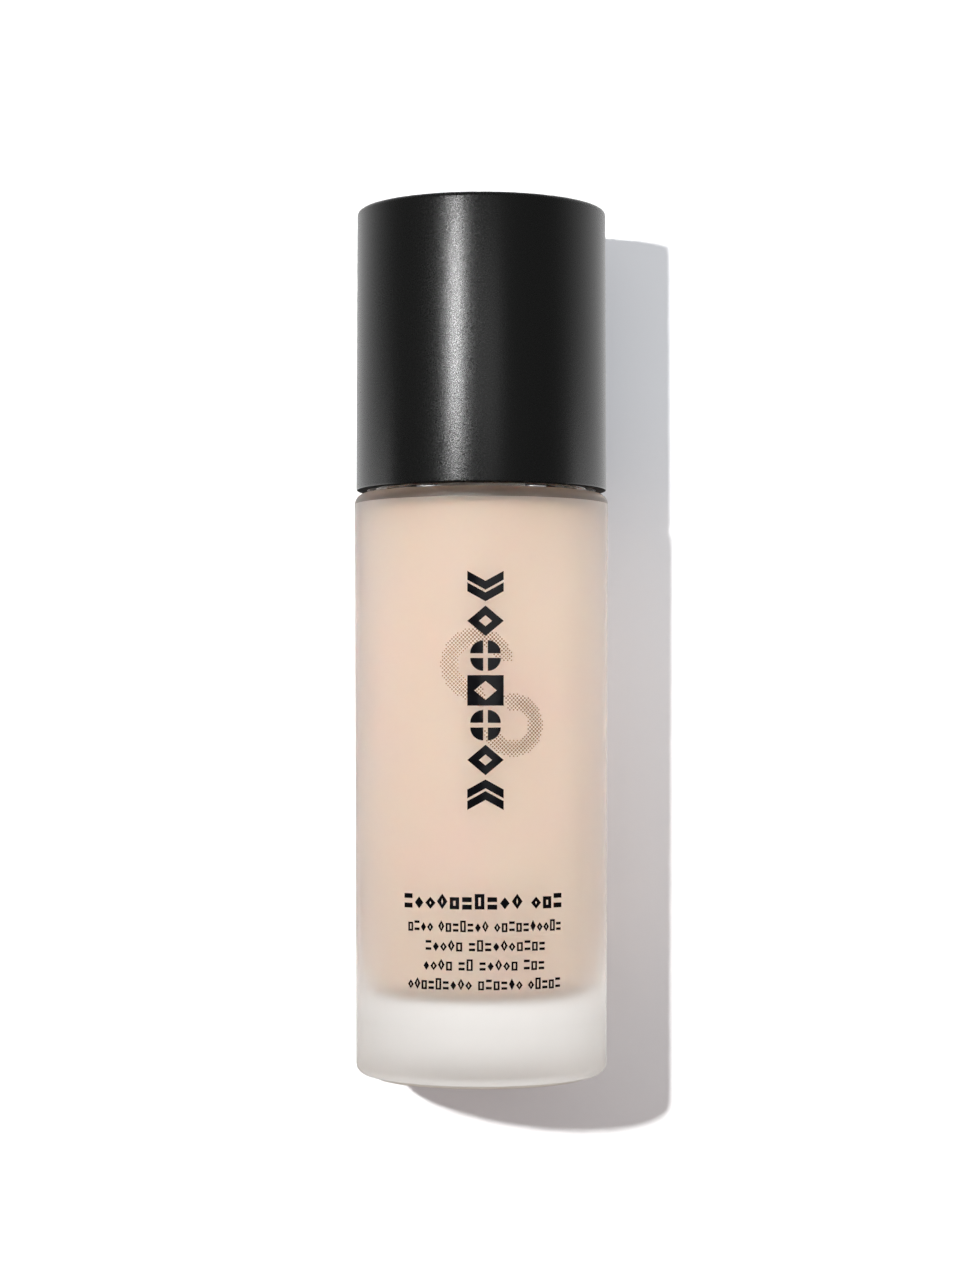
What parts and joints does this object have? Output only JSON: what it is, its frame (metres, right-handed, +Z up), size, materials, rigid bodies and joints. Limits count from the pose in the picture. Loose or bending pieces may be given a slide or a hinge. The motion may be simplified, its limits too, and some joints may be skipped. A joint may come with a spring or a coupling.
{
  "type": "foundation pump bottle",
  "caption": "Frosted thick-walled glass foundation bottle filled with beige liquid, with a screw-on treatment pump under a tall straight-sided satin black overcap.",
  "frame": {"origin": "centre of the face that the bottle stands on", "axes": "+Z up along the bottle's axis; the printed front and the pump's nozzle face -Y; +X to the right of the front"},
  "size_m": [0.0342, 0.0342, 0.1165],
  "materials": {
    "frosted_glass": "frosted, with a clear grey-white base",
    "liquid_foundation": "smooth opaque beige liquid",
    "satin_black": "satin, with a fine sparkling grain",
    "gloss_black": "moulded gloss",
    "dark_plastic": "moulded",
    "white_plastic": "moulded",
    "clear_plastic": "milky, extruded",
    "soft_white": "soft, smooth",
    "steel": "bright stainless"
  },
  "bodies": {
    "bottle": {"glass_bottle": "frosted_glass", "foundation_fill": "liquid_foundation"},
    "pump": {"lip_gasket": "soft_white", "pump_housing": "white_plastic", "housing_retainer": "white_plastic", "stem_wiper": "soft_white", "dip_tube": "clear_plastic", "return_spring": "steel"},
    "ball": {"inlet_ball": "steel"},
    "plunger": {"upper_stem": "white_plastic", "piston_rod": "white_plastic"},
    "piston": {"piston": "soft_white"},
    "head": {"actuator_core": "gloss_black", "nozzle_insert": "gloss_black", "actuator_shell": "gloss_black"},
    "closure": {"screw_closure": "satin_black", "collar_shroud": "gloss_black"},
    "overcap": {"overcap_liner": "dark_plastic", "overcap_shell": "satin_black"}
  },
  "joints": [
    {"name": "pump_lift", "type": "slide", "parent": "bottle", "child": "pump", "axis": [0, 0, 1], "range_m": [0, 0.00476]},
    {"name": "closure_turn", "type": "hinge", "parent": "pump", "child": "closure", "pos_m": [0, 0, 0.0855], "axis": [0, 0, 1], "range_deg": [0, 540]},
    {"name": "overcap_pull", "type": "slide", "parent": "closure", "child": "overcap", "axis": [0, 0, 1], "range_m": [0, 0.04]},
    {"name": "plunger_press", "type": "slide", "parent": "pump", "child": "plunger", "axis": [0, 0, -1], "range_m": [0, 0.0045], "stiffness_N_per_m": 900, "springref_m": -0.003, "deforming": ["return_spring"]},
    {"name": "head_turn", "type": "hinge", "parent": "plunger", "child": "head", "pos_m": [0, 0, 0.1], "axis": [0, 0, 1], "continuous": true},
    {"name": "piston_slip", "type": "slide", "parent": "plunger", "child": "piston", "axis": [0, 0, 1], "range_m": [0, 0.0008]},
    {"name": "ball_lift", "type": "slide", "parent": "pump", "child": "ball", "axis": [0, 0, 1], "range_m": [0, 0.0008]}
  ],
  "couplings": [
    {"joint": "closure_turn", "follows": "pump_lift", "rad_per_m": 1979}
  ]
}
